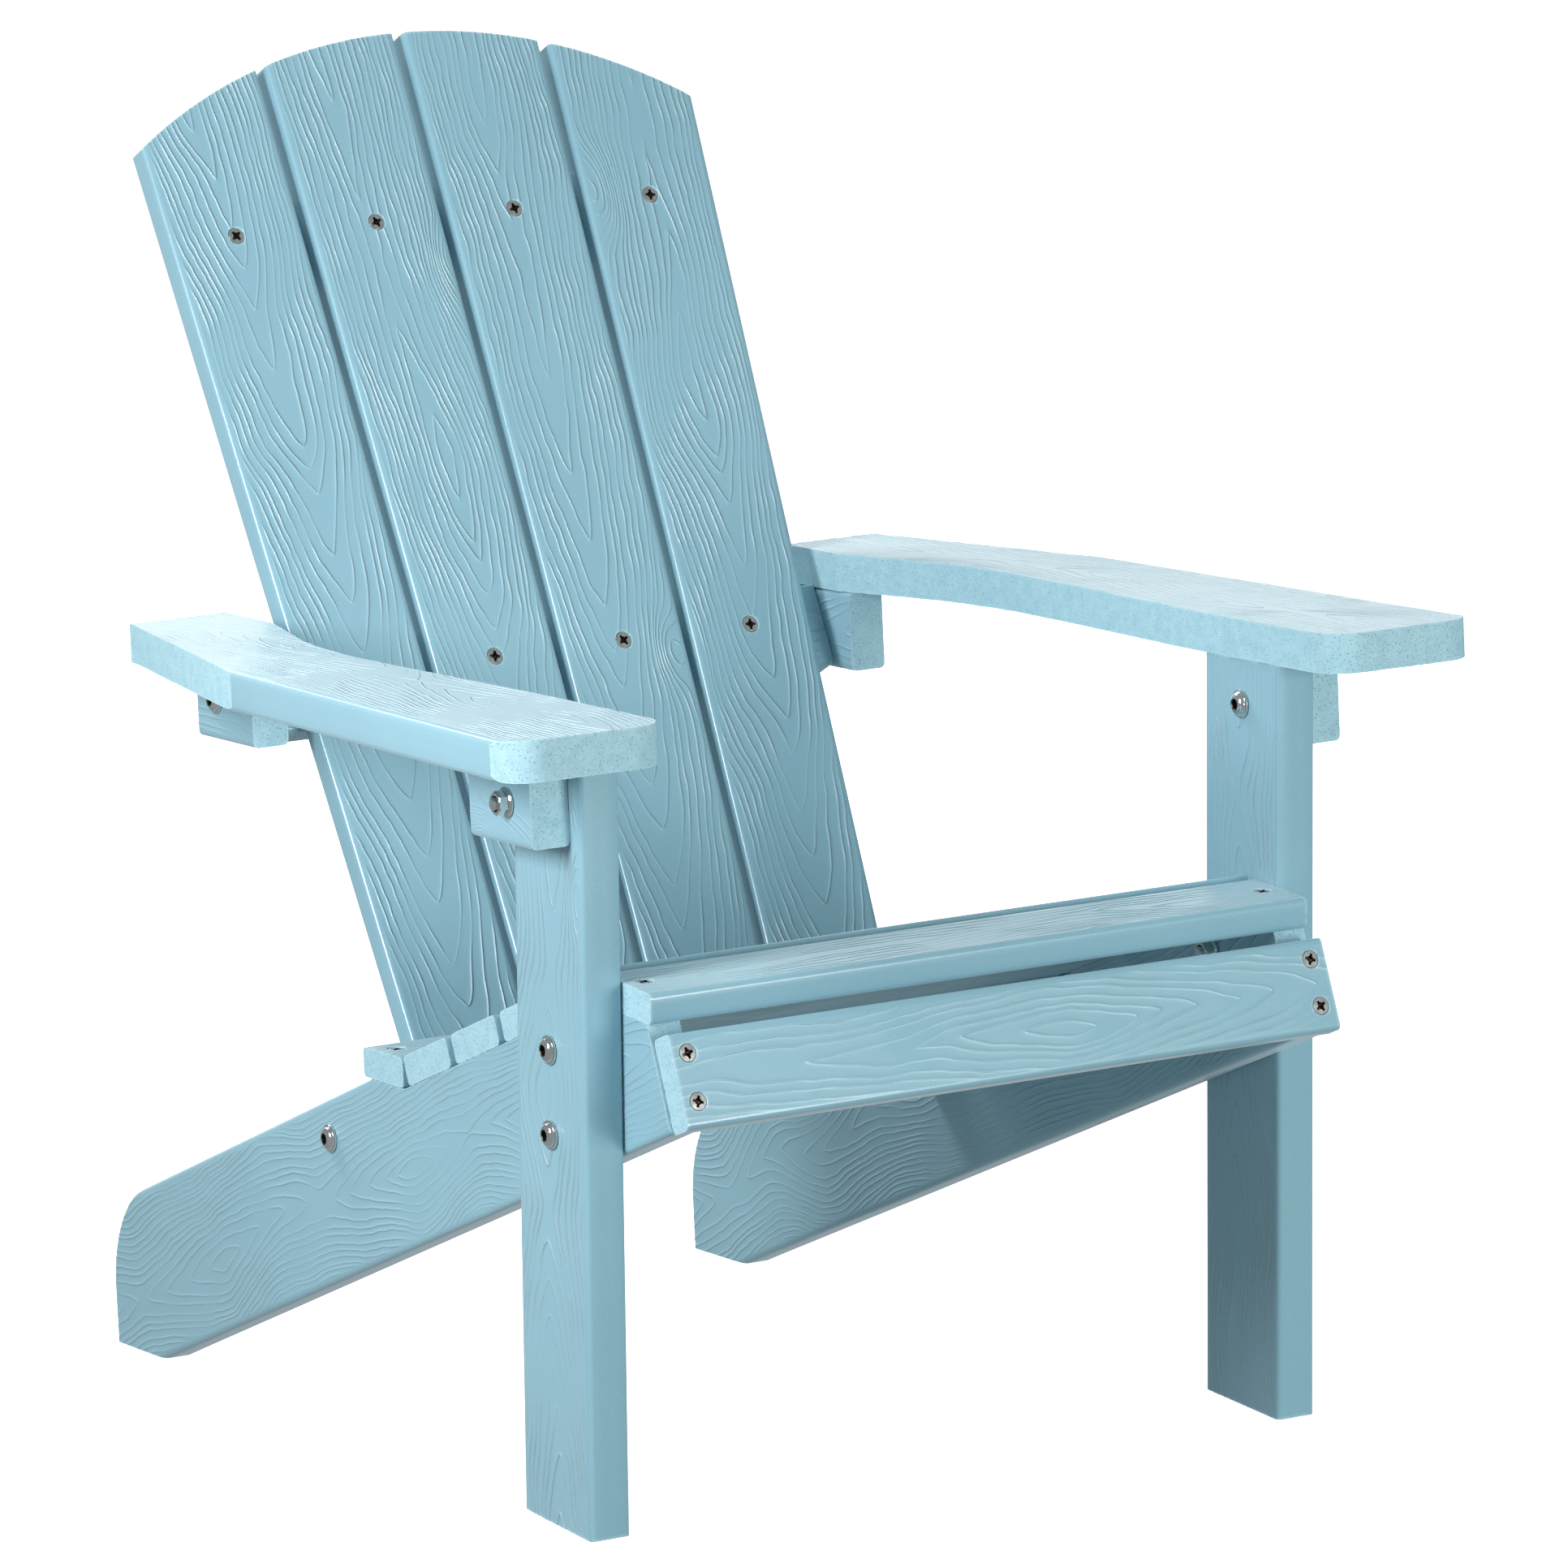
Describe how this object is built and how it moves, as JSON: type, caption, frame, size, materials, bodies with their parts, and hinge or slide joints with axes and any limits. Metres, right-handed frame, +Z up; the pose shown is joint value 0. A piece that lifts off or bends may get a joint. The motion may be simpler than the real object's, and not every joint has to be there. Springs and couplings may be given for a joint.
{
  "type": "adirondack chair",
  "caption": "Low slatted lounge chair in embossed plastic lumber, with a fanned reclined back, a sloping seat, wide flat arms and stringers that double as rear legs.",
  "frame": {"origin": "on the floor, at the middle of the chair's width and depth", "axes": "+Z up, -Y the way the chair faces, +X to the sitter's left; the chair is mirrored about X = 0"},
  "size_m": [0.5156, 0.6126, 0.6535],
  "materials": {
    "lumber": "embossed wood grain, light aqua blue",
    "fasteners": "polished stainless steel"
  },
  "bodies": {
    "root": {"apron": "lumber", "back_slat_1": "lumber", "back_slat_2": "lumber", "back_slat_3": "lumber", "back_slat_4": "lumber", "left_arm": "lumber", "left_front_block": "lumber", "left_post": "lumber", "left_rear_block": "lumber", "left_stringer": "lumber", "lower_back_rail": "lumber", "mid_back_rail": "lumber", "right_arm": "lumber", "right_front_block": "lumber", "right_post": "lumber", "right_rear_block": "lumber", "right_stringer": "lumber", "seat_slat_1": "lumber", "seat_slat_2": "lumber", "seat_slat_3": "lumber", "seat_slat_4": "lumber", "seat_slat_5": "lumber", "seat_slat_6": "lumber", "upper_back_rail": "lumber", "apron_screw_left_1": "fasteners", "apron_screw_left_2": "fasteners", "apron_screw_right_1": "fasteners", "apron_screw_right_2": "fasteners", "back_screw_lower_1": "fasteners", "back_screw_lower_2": "fasteners", "back_screw_lower_3": "fasteners", "back_screw_lower_4": "fasteners", "back_screw_mid_1": "fasteners", "back_screw_mid_2": "fasteners", "back_screw_mid_3": "fasteners", "back_screw_mid_4": "fasteners", "back_screw_upper_1": "fasteners", "back_screw_upper_2": "fasteners", "back_screw_upper_3": "fasteners", "back_screw_upper_4": "fasteners", "left_arm_bolt": "fasteners", "left_arm_nut": "fasteners", "left_lower_rail_bolt": "fasteners", "left_mid_rail_bolt": "fasteners", "left_post_bolt_lower": "fasteners", "left_post_bolt_upper": "fasteners", "left_post_nut_lower": "fasteners", "left_post_nut_upper": "fasteners", "right_arm_bolt": "fasteners", "right_arm_nut": "fasteners", "right_lower_rail_bolt": "fasteners", "right_mid_rail_bolt": "fasteners", "right_post_bolt_lower": "fasteners", "right_post_bolt_upper": "fasteners", "right_post_nut_lower": "fasteners", "right_post_nut_upper": "fasteners", "seat_screw_front_left": "fasteners", "seat_screw_front_right": "fasteners", "seat_screw_rear_left": "fasteners", "seat_screw_rear_right": "fasteners"}
  },
  "joints": []
}
